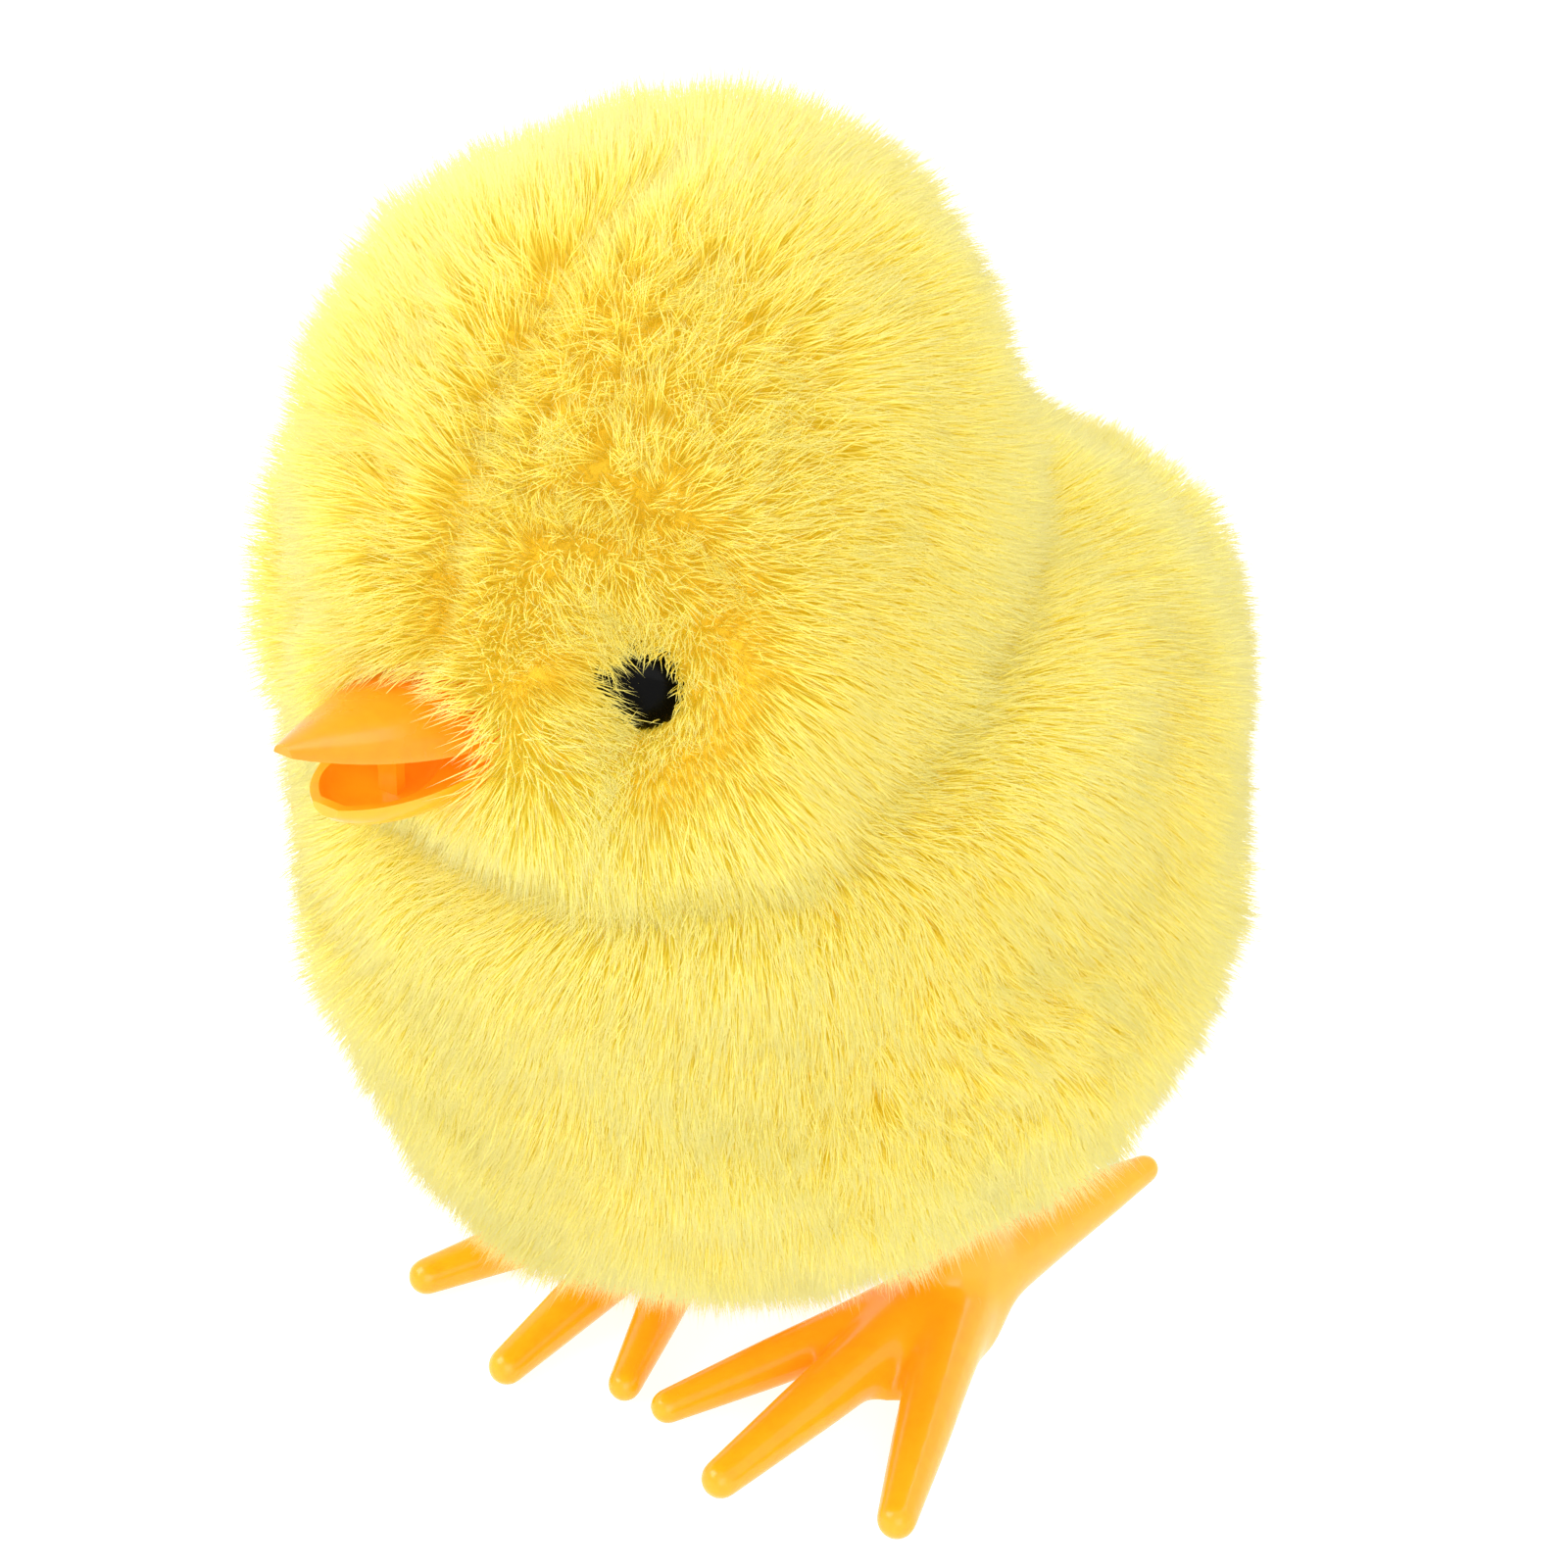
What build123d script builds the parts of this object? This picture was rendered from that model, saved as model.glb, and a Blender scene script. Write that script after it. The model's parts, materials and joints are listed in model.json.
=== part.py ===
from build123d import *
import os
from math import acos, asin, atan2, cos, degrees, hypot, pi, radians, sin, sqrt, tan

# A wind-up hopping chick: a plush cover over a two-part plastic shell, a spring
# motor inside it, and two moulded feet that rock on an axle under the body.
# The chick faces -Y and its left side is +X. The origin is on the ground, midway
# between the two feet. Every shaft of the motor runs along X.

# ---------------------------------------------------------------- driving sizes
BODY_MID = (0, -3.5, 42.3)
BODY_HALF_WIDTH = 32.5
BODY_RADIUS = 33.6
HEAD_MID = (0, -15.5, 66)
HEAD_RADIUS = 23.8
HEAD_HALF_HEIGHT = 25.9
PLUSH = 7.2                      # backing and pile together
COVER_GAP = 0.2                  # between the cover's backing and the shell
SHELL_WALL = 1.6
BASE_Z = 21.3                    # the flat underside of the shell
BASE_PLATE = 1.6

EYE_TURN = 36.0                  # degrees from straight ahead
EYE_Z = 64.4
EYE_RADIUS = 2.8
BEAK_Z = 60.7                    # the line between the two halves of the beak
BEAK_PLUG_RADIUS = 3.4

HIP = (0.0, 26.0)                # shaft places are (y, z)
MAIN = (-6.0, 35.5)
ROCKER_LENGTH = 10.0
ROCKER_TILT = degrees(atan2(0.8, 0.6))
CRANK_THROW = 1.6
MODULE = 0.4
MAIN_TEETH = 40
WHEEL_TEETH = 30
PINION_TEETH = 10
ESCAPE_TEETH = 12
RATCHET_TEETH = 12
PRESSURE_ANGLE = radians(25)
BACKLASH = 0.07
RUNNING = 0.05                   # radial clearance of a shaft in its bearing

CASE_HALF = 9.0
CASE_WALL = 1.2
CASE_ROOM = 0.7
ARBOR_RADIUS = 0.6
KEY_ARBOR_RADIUS = 1.2
CRANK_SLEEVE = 1.5               # outer radius of the crank arbor's long bearing
HIP_RADIUS = 1.0
LEG_IN = 9.6
LEG_OUT = 12.4
FOOT_MID = (11.3, 5.2)

# Where each layer of the motor starts and ends along X.
SPRING_X = (-7.3, -3.5)
RATCHET_X = (-3.1, -2.1)
MAIN_X = (-1.7, -0.5)
SECOND_X = (0.7, 1.7)
CRANK_X = (3.0, 4.0)
ROCKER_X = (4.9, 6.3)
ESCAPE_X = (5.2, 6.0)


def axis_plane(x):
    """A plane across the shafts: local x is +Y, local y is +Z, normal +X."""
    return Plane.YZ.offset(x)


def polar(centre, radius, angle):
    return (centre[0] + radius * cos(radians(angle)), centre[1] + radius * sin(radians(angle)))


def circles_meet(first, first_radius, second, second_radius):
    """The upper of the two points at the given distances from two centres."""
    along = (second[0] - first[0], second[1] - first[1])
    gap = hypot(*along)
    reach = (first_radius**2 - second_radius**2 + gap**2) / (2 * gap)
    rise = sqrt(first_radius**2 - reach**2)
    unit = (along[0] / gap, along[1] / gap)
    return (
        first[0] + reach * unit[0] - rise * unit[1],
        first[1] + reach * unit[1] + rise * unit[0],
    )


def pitch_radius(teeth):
    return MODULE * teeth / 2


PAIR = pitch_radius(WHEEL_TEETH) + pitch_radius(PINION_TEETH)
CRANK = polar(HIP, ROCKER_LENGTH, ROCKER_TILT)
SECOND = circles_meet(MAIN, pitch_radius(MAIN_TEETH) + pitch_radius(PINION_TEETH), CRANK, PAIR)
ESCAPE = polar(CRANK, PAIR, 50)
PALLET = polar(ESCAPE, 6.5, 104)


# ------------------------------------------------------------------ solid tools
def ellipsoid(middle, half_sizes):
    """A sphere stretched to its three half sizes and moved to its middle."""
    with BuildPart() as egg:
        Sphere(1)
        scale(by=half_sizes)
    return egg.part.moved(Location(middle))


def body_egg(inset):
    radius = BODY_RADIUS - inset
    return ellipsoid(BODY_MID, (BODY_HALF_WIDTH - inset, radius, radius))


def head_egg(inset):
    radius = HEAD_RADIUS - inset
    return ellipsoid(HEAD_MID, (radius, radius, HEAD_HALF_HEIGHT - inset))


def figure(inset):
    """Body and head together, shrunk by the inset."""
    with BuildPart() as outline:
        add(body_egg(inset))
        add(head_egg(inset))
    return outline.part


def shaft(place, radius, start, end):
    """A round bar along X."""
    with BuildPart() as bar:
        with BuildSketch(axis_plane(start)):
            with Locations(place):
                Circle(radius)
        extrude(amount=end - start)
    return bar.part


def post(x, y, radius, start, end):
    """A round bar along Z."""
    with BuildPart() as bar:
        with BuildSketch(Plane.XY.offset(start)):
            with Locations((x, y)):
                Circle(radius)
        extrude(amount=end - start)
    return bar.part


def screw(plane, length, radius, head_radius, head_height):
    """A pan-head screw: its head sits on the plane, its thread goes down the normal's back."""
    with BuildPart() as piece:
        with BuildSketch(plane):
            Circle(head_radius)
        extrude(amount=head_height)
        fillet(piece.edges().filter_by(GeomType.CIRCLE).group_by(SortBy.DISTANCE)[-1], 0.3)
        with BuildSketch(plane):
            Circle(radius)
        extrude(amount=-length)
        slot_plane = plane.offset(head_height)
        for turn in (0, 90):
            with BuildSketch(slot_plane):
                Rectangle(head_radius * 1.3, head_radius * 0.28, rotation=turn)
            extrude(amount=-head_height * 0.55, mode=Mode.SUBTRACT)
    return piece.part


def involute(angle):
    return tan(angle) - angle


def gear_face(teeth, place, turn):
    """A spur gear's outline, with one tooth centred at `turn` degrees."""
    pitch = pitch_radius(teeth)
    base = pitch * cos(PRESSURE_ANGLE)
    tip = pitch + 0.8 * MODULE
    root = pitch - 1.1 * MODULE
    half_tooth = (pi / 2 - BACKLASH / MODULE) / teeth + involute(PRESSURE_ANGLE)

    def flank(radius, side, middle):
        lean = half_tooth - involute(acos(min(1, base / max(radius, base))))
        angle = middle + side * lean
        return (place[0] + radius * cos(angle), place[1] + radius * sin(angle))

    with BuildSketch() as outline:
        with BuildLine():
            for tooth in range(teeth):
                middle = radians(turn) + tooth * 2 * pi / teeth
                after = middle + 2 * pi / teeth
                start = max(base, root)
                waist = (start + tip) / 2
                if root < base:
                    Line(flank(root, -1, middle), flank(start, -1, middle))
                ThreePointArc(*(flank(r, -1, middle) for r in (start, waist, tip)))
                Line(flank(tip, -1, middle), flank(tip, 1, middle))
                ThreePointArc(*(flank(r, 1, middle) for r in (tip, waist, start)))
                if root < base:
                    Line(flank(start, 1, middle), flank(root, 1, middle))
                Line(flank(root, 1, middle), flank(root, -1, after))
        make_face()
    return outline.sketch


def meshed_turn(place, teeth, turn, other, other_teeth):
    """The turn that puts a gap of the other gear opposite a tooth of this one."""
    bearing = degrees(atan2(other[1] - place[1], other[0] - place[0]))
    passed = (bearing - turn) * teeth / 360
    return bearing + 180 - (0.5 - passed) * 360 / other_teeth


def hull_face(rounds):
    """The outline that wraps a list of (place, radius) circles."""
    with BuildSketch() as outline:
        for place, radius in rounds:
            with Locations(place):
                Circle(radius)
        make_hull()
    return outline.sketch


def prism(face, start, end):
    """A face drawn in (y, z), raised from one X to another."""
    with BuildPart() as block:
        with BuildSketch(axis_plane(start)):
            add(face)
        extrude(amount=end - start)
    return block.part


os.makedirs("parts", exist_ok=True)

# --------------------------------------------------------------- plush and shell
SHELL_INSET = PLUSH + COVER_GAP
shell_outside = figure(SHELL_INSET)
shell_inside = figure(SHELL_INSET + SHELL_WALL)
LEG_SLOT_X = (LEG_IN - 0.6, LEG_OUT + 0.6)
LEG_SLOT_Y = (-4.8, 6.8)
SHELL_BOSSES = [(-15.5, 78.0), (10.0, 60.0), (-22.0, 31.5)]
SHELL_SCREW_X = -6.0
MOTOR_LUGS = [(-16.5, 49.0), (12.5, 53.5)]
BASE_SCREWS = [(x, BODY_MID[1] + y) for x in (-3.5, 3.5) for y in (-12, 12)]
EAR_ROUND = 2.4
eye_way = (sin(radians(EYE_TURN)), -cos(radians(EYE_TURN)))


def eye_plane(side, reach):
    """A plane facing out along one eye's stem, `reach` from the head's axis."""
    return Plane(
        origin=(side * eye_way[0] * reach, HEAD_MID[1] + eye_way[1] * reach, EYE_Z),
        z_dir=(side * eye_way[0], eye_way[1], 0),
    )


with BuildPart() as plush_cover:
    add(figure(0))
    add(figure(PLUSH), mode=Mode.SUBTRACT)
    # the opening round the legs
    with BuildSketch(Plane.XY):
        with Locations((0, 2.5)):
            RectangleRounded(31.4, 21, 4)
    extrude(amount=30, mode=Mode.SUBTRACT)
    for x, y in BASE_SCREWS:
        add(post(x, y, 1.7, BASE_Z - BASE_PLATE - 1.4, BASE_Z), mode=Mode.SUBTRACT)
    # the pockets round the eyes, the beak and the key's collar
    for side in (-1, 1):
        with BuildSketch(eye_plane(side, 12)):
            Circle(EYE_RADIUS + 0.3)
        extrude(amount=20, mode=Mode.SUBTRACT)
    with BuildSketch(Plane.XZ.offset(30)):
        with Locations((0, BEAK_Z)):
            Ellipse(6.7, 5.2)
    extrude(amount=20, mode=Mode.SUBTRACT)
    with BuildSketch(axis_plane(-20)):
        with Locations(MAIN):
            Circle(2.7)
    extrude(amount=-20, mode=Mode.SUBTRACT)


def leg_slots(start, end):
    """The two slots that the legs swing in, as blocks to cut away."""
    with BuildPart() as slots:
        with BuildSketch(Plane.XY.offset(start)):
            for side in (-1, 1):
                with Locations((side * sum(LEG_SLOT_X) / 2, sum(LEG_SLOT_Y) / 2)):
                    Rectangle(LEG_SLOT_X[1] - LEG_SLOT_X[0], LEG_SLOT_Y[1] - LEG_SLOT_Y[0])
        extrude(amount=end - start)
    return slots.part


with BuildPart() as untrimmed_bosses:
    for place in SHELL_BOSSES:
        add(shaft(place, EAR_ROUND, 0, 40))
    for x, y in BASE_SCREWS:
        if x > 0:
            add(post(x, y, 1.7, BASE_Z, BASE_Z + 2.8))
shell_posts = untrimmed_bosses.part & shell_outside

with BuildPart() as untrimmed_lugs:
    for place in MOTOR_LUGS:
        add(shaft(place, EAR_ROUND, CASE_HALF + 0.1, 40))
motor_posts = untrimmed_lugs.part & shell_outside

# what the two halves have in common, drawn as the left one
with BuildPart() as plain_half:
    add(shell_outside)
    add(shell_inside, mode=Mode.SUBTRACT)
    split(bisect_by=Plane.YZ, keep=Keep.TOP)
    add(shell_posts)
    split(bisect_by=Plane.XY.offset(BASE_Z), keep=Keep.TOP)
    add(leg_slots(BASE_Z - 1, BASE_Z + 3), mode=Mode.SUBTRACT)
    for x, y in BASE_SCREWS:
        add(post(x, y, 0.7, BASE_Z - 1, BASE_Z + 2.7), mode=Mode.SUBTRACT)
    # holes for the eye's stem and the beak's plug
    with BuildSketch(eye_plane(1, 10)):
        Circle(1.1)
    extrude(amount=10, mode=Mode.SUBTRACT)
    with BuildSketch(Plane.XZ.offset(20)):
        with Locations((0, BEAK_Z)):
            Circle(BEAK_PLUG_RADIUS + 0.1)
    extrude(amount=20, mode=Mode.SUBTRACT)

with BuildPart() as body_shell_left:
    add(plain_half.part)
    add(motor_posts)
    for place in SHELL_BOSSES:
        add(shaft(place, 0.85, -1, 5.5), mode=Mode.SUBTRACT)
    for place in MOTOR_LUGS:
        add(shaft(place, 0.75, CASE_HALF, CASE_HALF + 4.5), mode=Mode.SUBTRACT)

with BuildPart() as body_shell_right:
    add(plain_half.part)
    mirror(about=Plane.YZ, mode=Mode.REPLACE)
    for place in SHELL_BOSSES:
        add(shaft(place, 0.85, -10, 1), mode=Mode.SUBTRACT)
        add(shaft(place, 1.9, -40, SHELL_SCREW_X), mode=Mode.SUBTRACT)
    add(shaft(MAIN, 2.45, -40, -15), mode=Mode.SUBTRACT)

with BuildPart() as shell_screws:
    for y, z in SHELL_BOSSES:
        add(screw(Plane(origin=(SHELL_SCREW_X, y, z), z_dir=(-1, 0, 0)), 10.5, 0.85, 1.7, 1.2))

with BuildPart() as base_plate:
    add(body_egg(SHELL_INSET))
    split(bisect_by=Plane.XY.offset(BASE_Z), keep=Keep.BOTTOM)
    split(bisect_by=Plane.XY.offset(BASE_Z - BASE_PLATE), keep=Keep.TOP)
    with BuildSketch(Plane.XY.offset(BASE_Z - BASE_PLATE)):
        with Locations((0, sum(LEG_SLOT_Y) / 2)):
            RectangleRounded(2 * LEG_SLOT_X[1] + 3, 15, 3)
    extrude(amount=BASE_PLATE)
    add(leg_slots(0, BASE_Z + 1), mode=Mode.SUBTRACT)
    for x, y in BASE_SCREWS:
        add(post(x, y, 0.85, 0, BASE_Z + 1), mode=Mode.SUBTRACT)

with BuildPart() as base_screws:
    for x, y in BASE_SCREWS:
        add(screw(Plane(origin=(x, y, BASE_Z - BASE_PLATE), z_dir=(0, 0, -1)), 4.2, 0.7, 1.3, 0.8))

# ------------------------------------------------------------------ face pieces
UPPER_BEAK = [                   # y, half width, height, lift of the flat side above the parting line
    (-34.0, 5.6, 3.0, 0.35),
    (-38.0, 5.1, 2.7, 0.50),
    (-43.5, 3.1, 1.85, 1.25),
    (-47.6, 0.7, 0.6, 2.45),
]
LOWER_BEAK = [
    (-34.0, 5.0, 3.2, -0.8),
    (-38.5, 4.6, 2.8, -1.25),
    (-42.0, 3.4, 2.1, -1.6),
    (-43.9, 2.1, 1.4, -1.7),
    (-44.8, 1.0, 0.7, -1.75),
]
MOUTH = [                        # the hollow in the lower half, narrowing towards the throat
    (-36.0, 1.6, 0.6, -0.85),
    (-38.5, 2.6, 1.3, -1.15),
    (-42.0, 2.85, 1.55, -1.5),
    (-43.6, 1.7, 0.9, -1.6),
    (-44.2, 0.9, 0.4, -1.65),
]
TONGUE_RIB = (-39.6, 0.35, -0.9)  # y, half thickness, and the height of its top from the parting line


def half_oval(y, half_width, height, base, upward):
    """Half an ellipse, flat side at the given height above the beak's parting line."""
    with BuildSketch(Plane.XZ.offset(-y)) as oval:
        with BuildLine():
            EllipticalCenterArc(
                (0, BEAK_Z + base), half_width, height, start_angle=0 if upward else 180, arc_size=180
            )
            Line((-half_width, BEAK_Z + base), (half_width, BEAK_Z + base))
        make_face()
    return oval.sketch


with BuildPart() as beak_upper:
    for y, half_width, height, lift in UPPER_BEAK:
        add(half_oval(y, half_width, height, lift, True))
    loft()
    with BuildSketch(Plane.XZ.offset(-UPPER_BEAK[0][0])):
        with Locations((0, BEAK_Z)):
            Circle(BEAK_PLUG_RADIUS)
            Rectangle(9, 5, align=(Align.CENTER, Align.MAX), mode=Mode.SUBTRACT)
    extrude(amount=-7)

with BuildPart() as mouth:
    for y, half_width, height, lift in MOUTH:
        add(half_oval(y, half_width, height, lift, False))
    loft()

with BuildPart() as beak_lower:
    for y, half_width, height, lift in LOWER_BEAK:
        add(half_oval(y, half_width, height, lift, False))
    loft()
    add(mouth.part, mode=Mode.SUBTRACT)
    with BuildSketch(Plane.XZ.offset(-TONGUE_RIB[0])):
        with Locations((0, BEAK_Z + TONGUE_RIB[2])):
            Rectangle(1.4, 2.4, align=(Align.CENTER, Align.MAX))
    extrude(amount=TONGUE_RIB[1], both=True)
    with BuildSketch(Plane.XZ.offset(-LOWER_BEAK[0][0])):
        with Locations((0, BEAK_Z - 0.1)):
            Circle(BEAK_PLUG_RADIUS - 0.1)
            Rectangle(9, 5, align=(Align.CENTER, Align.MIN), mode=Mode.SUBTRACT)
    extrude(amount=-7)

EYE_SEAT = 17.6                  # the back of the bead, from the head's axis


def eye(side):
    """A domed bead on a stem that goes through the cover and the shell."""
    with BuildPart() as bead:
        with BuildSketch(eye_plane(side, EYE_SEAT)):
            Circle(EYE_RADIUS)
        extrude(amount=EYE_RADIUS)
        front = bead.faces().sort_by(Axis((0, HEAD_MID[1], EYE_Z), eye_plane(side, 1).z_dir))[-1]
        fillet(front.edges(), 2.0)
        with BuildSketch(eye_plane(side, EYE_SEAT)):
            Circle(0.95)
        extrude(amount=-6.6)
    return bead


left_eye = eye(1)
right_eye = eye(-1)

with BuildPart() as eye_washers:
    for side in (-1, 1):
        with BuildSketch(eye_plane(side, 12.2)):
            Circle(2.6)
            Circle(1.0, mode=Mode.SUBTRACT)
        extrude(amount=0.5)

# ------------------------------------------------------------------- motor case
WHEEL_TIP = pitch_radius(WHEEL_TEETH) + MODULE
SPRING_OUTER = 9.3
ESCAPE_TIP = 3.6
CASE_ROUNDS = [
    (MAIN, SPRING_OUTER),
    (SECOND, WHEEL_TIP),
    (CRANK, WHEEL_TIP),
    (ESCAPE, ESCAPE_TIP + 0.4),
    (PALLET, 3.4),
    (HIP, 2.6),
]
CASE_SCREWS = [polar(MAIN, 12.6, 112), polar(MAIN, 12.4, 250), polar(CRANK, 8.9, -4)]
ARBORS = [SECOND, CRANK, ESCAPE, PALLET]
SPRING_POST = polar(MAIN, SPRING_OUTER + 0.5, 155)


def grown(rounds, extra):
    return [(place, radius + extra) for place, radius in rounds]


def case_half(side):
    """One clamshell half of the motor case, with its bearings and screw bosses."""
    inner = CASE_HALF - CASE_WALL
    wall = CASE_ROOM + CASE_WALL
    low, high = (0, CASE_HALF) if side > 0 else (-CASE_HALF, 0)
    room_low, room_high = (0, inner) if side > 0 else (-inner, 0)
    ears = [(place, 2.0 - wall) for place in CASE_SCREWS]
    with BuildPart() as half:
        add(prism(hull_face(grown(CASE_ROUNDS + ears, wall)), low, high))
        add(prism(hull_face(grown(CASE_ROUNDS, CASE_ROOM)), room_low, room_high), mode=Mode.SUBTRACT)
        if side > 0:
            lugs = [(place, EAR_ROUND - wall) for place in MOTOR_LUGS]
            add(prism(hull_face(grown(CASE_ROUNDS + lugs, wall)), inner, CASE_HALF))
            for place in MOTOR_LUGS:
                add(shaft(place, 0.8, 0, CASE_HALF), mode=Mode.SUBTRACT)
        else:
            add(shaft(SPRING_POST, 0.7, -CASE_HALF, SPRING_X[1] - 0.2))
            add(shaft(CRANK, CRANK_SLEEVE, -inner, 0))
        for place in ARBORS:
            end = 0 if place == CRANK else CASE_HALF
            add(shaft(place, ARBOR_RADIUS + RUNNING, -CASE_HALF, end), mode=Mode.SUBTRACT)
        add(shaft(MAIN, KEY_ARBOR_RADIUS + RUNNING, -CASE_HALF, CASE_HALF), mode=Mode.SUBTRACT)
        add(shaft(HIP, HIP_RADIUS + RUNNING, -CASE_HALF, CASE_HALF), mode=Mode.SUBTRACT)
        for place in CASE_SCREWS:
            add(shaft(place, 0.7, -CASE_HALF, 6), mode=Mode.SUBTRACT)
    return half


case_left = case_half(1)
case_right = case_half(-1)

with BuildPart() as case_screws:
    for y, z in CASE_SCREWS:
        add(screw(Plane(origin=(-CASE_HALF, y, z), z_dir=(-1, 0, 0)), 14, 0.7, 1.4, 0.9))

with BuildPart() as motor_screws:
    for y, z in MOTOR_LUGS:
        inner_face = CASE_HALF - CASE_WALL
        add(screw(Plane(origin=(inner_face, y, z), z_dir=(-1, 0, 0)), 5.2, 0.75, 1.5, 1.0))

# ------------------------------------------------------------------- gear train
MAIN_TURN = 0.0
SECOND_TURN = meshed_turn(MAIN, MAIN_TEETH, MAIN_TURN, SECOND, PINION_TEETH)
CRANK_TURN = meshed_turn(SECOND, WHEEL_TEETH, SECOND_TURN, CRANK, PINION_TEETH)
ESCAPE_TURN = meshed_turn(CRANK, WHEEL_TEETH, CRANK_TURN, ESCAPE, PINION_TEETH)

CLICK_PIVOT = polar(MAIN, 5.6, 50)
SPRING_PEG = polar(MAIN, 5.9, -20)
with BuildPart() as main_wheel:
    add(prism(gear_face(MAIN_TEETH, MAIN, MAIN_TURN), *MAIN_X))
    add(shaft(MAIN, 2.2, MAIN_X[0], 0.2))
    add(shaft(MAIN, KEY_ARBOR_RADIUS + RUNNING, -5, 5), mode=Mode.SUBTRACT)
    add(shaft(CLICK_PIVOT, 0.5, *MAIN_X), mode=Mode.SUBTRACT)
    add(shaft(SPRING_PEG, 0.5, -3.0, MAIN_X[1]))
    for turn in (95, 140, 185, 230, 275):
        add(shaft(polar(MAIN, 5.3, turn), 1.3, -5, 5), mode=Mode.SUBTRACT)

with BuildPart() as click_pin:
    add(shaft(CLICK_PIVOT, 0.5, -3.35, MAIN_X[1]))


def ratchet_point(radius, angle):
    return polar(MAIN, radius, angle)


RATCHET_ROOT = 2.6
RATCHET_TIP = 3.4
with BuildPart() as ratchet_wheel:
    with BuildSketch(axis_plane(RATCHET_X[0])):
        with BuildLine():
            pitch = 360 / RATCHET_TEETH
            for tooth in range(RATCHET_TEETH):
                start = tooth * pitch
                Line(ratchet_point(RATCHET_ROOT, start), ratchet_point(RATCHET_TIP, start + pitch))
                Line(ratchet_point(RATCHET_TIP, start + pitch), ratchet_point(RATCHET_ROOT, start + pitch))
        make_face()
        with Locations(MAIN):
            Circle(KEY_ARBOR_RADIUS, mode=Mode.SUBTRACT)
    extrude(amount=RATCHET_X[1] - RATCHET_X[0])

CLICK_OUTLINE = [(2.85, 3.0), (3.25, 14), (3.75, 28), (5.6, 50), (5.1, 30), (4.0, 7)]
with BuildPart() as click:
    with BuildSketch(axis_plane(RATCHET_X[0])):
        with BuildLine():
            Polyline(*[ratchet_point(r, a) for r, a in CLICK_OUTLINE], close=True)
        make_face()
        with Locations(CLICK_PIVOT):
            Circle(1.0)
            Circle(0.5 + RUNNING, mode=Mode.SUBTRACT)
    extrude(amount=RATCHET_X[1] - RATCHET_X[0])

with BuildPart() as click_spring:
    with BuildSketch(axis_plane(RATCHET_X[0] + 0.2)):
        with BuildLine():
            ThreePointArc(ratchet_point(6.55, -20), ratchet_point(6.3, -2), ratchet_point(5.0, 15))
        trace(line_width=0.25)
    extrude(amount=0.6)

with BuildPart() as mainspring:
    turns = 5.5
    inner = 1.6
    strip = 0.25
    steps = 44
    growth = (SPRING_OUTER - 0.5 - inner) / steps
    with BuildSketch(axis_plane(SPRING_X[0])):
        with BuildLine():
            inside = [
                polar(MAIN, inner + growth * n, 155 + 360 * turns * (n / steps - 1))
                for n in range(steps + 1)
            ]
            outside = [
                polar(MAIN, inner + strip + growth * n, 155 + 360 * turns * (n / steps - 1))
                for n in range(steps + 1)
            ]
            Spline(*inside)
            Spline(*outside)
            Line(inside[0], outside[0])
            Line(inside[-1], outside[-1])
        make_face()
    extrude(amount=SPRING_X[1] - SPRING_X[0])


def wheel_and_pinion(place, turn, wheel_x, pinion_x, teeth=WHEEL_TEETH):
    """A wheel and its pinion moulded in one, bored for the arbor."""
    with BuildPart() as wheel:
        add(prism(gear_face(teeth, place, turn), *wheel_x))
        add(prism(gear_face(PINION_TEETH, place, turn), *pinion_x))
        add(shaft(place, ARBOR_RADIUS, -CASE_HALF, CASE_HALF), mode=Mode.SUBTRACT)
        for hole in range(5):
            add(shaft(polar(place, 4.0, 72 * hole), 0.9, *wheel_x), mode=Mode.SUBTRACT)
    return wheel


second_wheel = wheel_and_pinion(SECOND, SECOND_TURN, SECOND_X, (MAIN_X[0] - 0.2, SECOND_X[0]))
crank_wheel = wheel_and_pinion(CRANK, CRANK_TURN, CRANK_X, (SECOND_X[0] - 0.2, CRANK_X[0]))

CRANK_PIN = polar(CRANK, CRANK_THROW, ROCKER_TILT)
with BuildPart() as crank_pin:
    add(shaft(CRANK_PIN, 0.8, CRANK_X[1], ROCKER_X[0] - 0.1))

with BuildPart() as escape_wheel:
    with BuildSketch(axis_plane(ESCAPE_X[0])):
        with BuildLine():
            for tooth in range(ESCAPE_TEETH):
                start = tooth * 360 / ESCAPE_TEETH
                after = start + 360 / ESCAPE_TEETH
                Line(polar(ESCAPE, ESCAPE_TIP, start), polar(ESCAPE, 2.5, start + 4))
                Line(polar(ESCAPE, 2.5, start + 4), polar(ESCAPE, 2.5, after - 10))
                Line(polar(ESCAPE, 2.5, after - 10), polar(ESCAPE, ESCAPE_TIP, after))
        make_face()
    extrude(amount=ESCAPE_X[1] - ESCAPE_X[0])
    add(prism(gear_face(PINION_TEETH, ESCAPE, ESCAPE_TURN), CRANK_X[0] - 0.2, ESCAPE_X[0]))
    add(shaft(ESCAPE, ARBOR_RADIUS, -CASE_HALF, CASE_HALF), mode=Mode.SUBTRACT)

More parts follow.
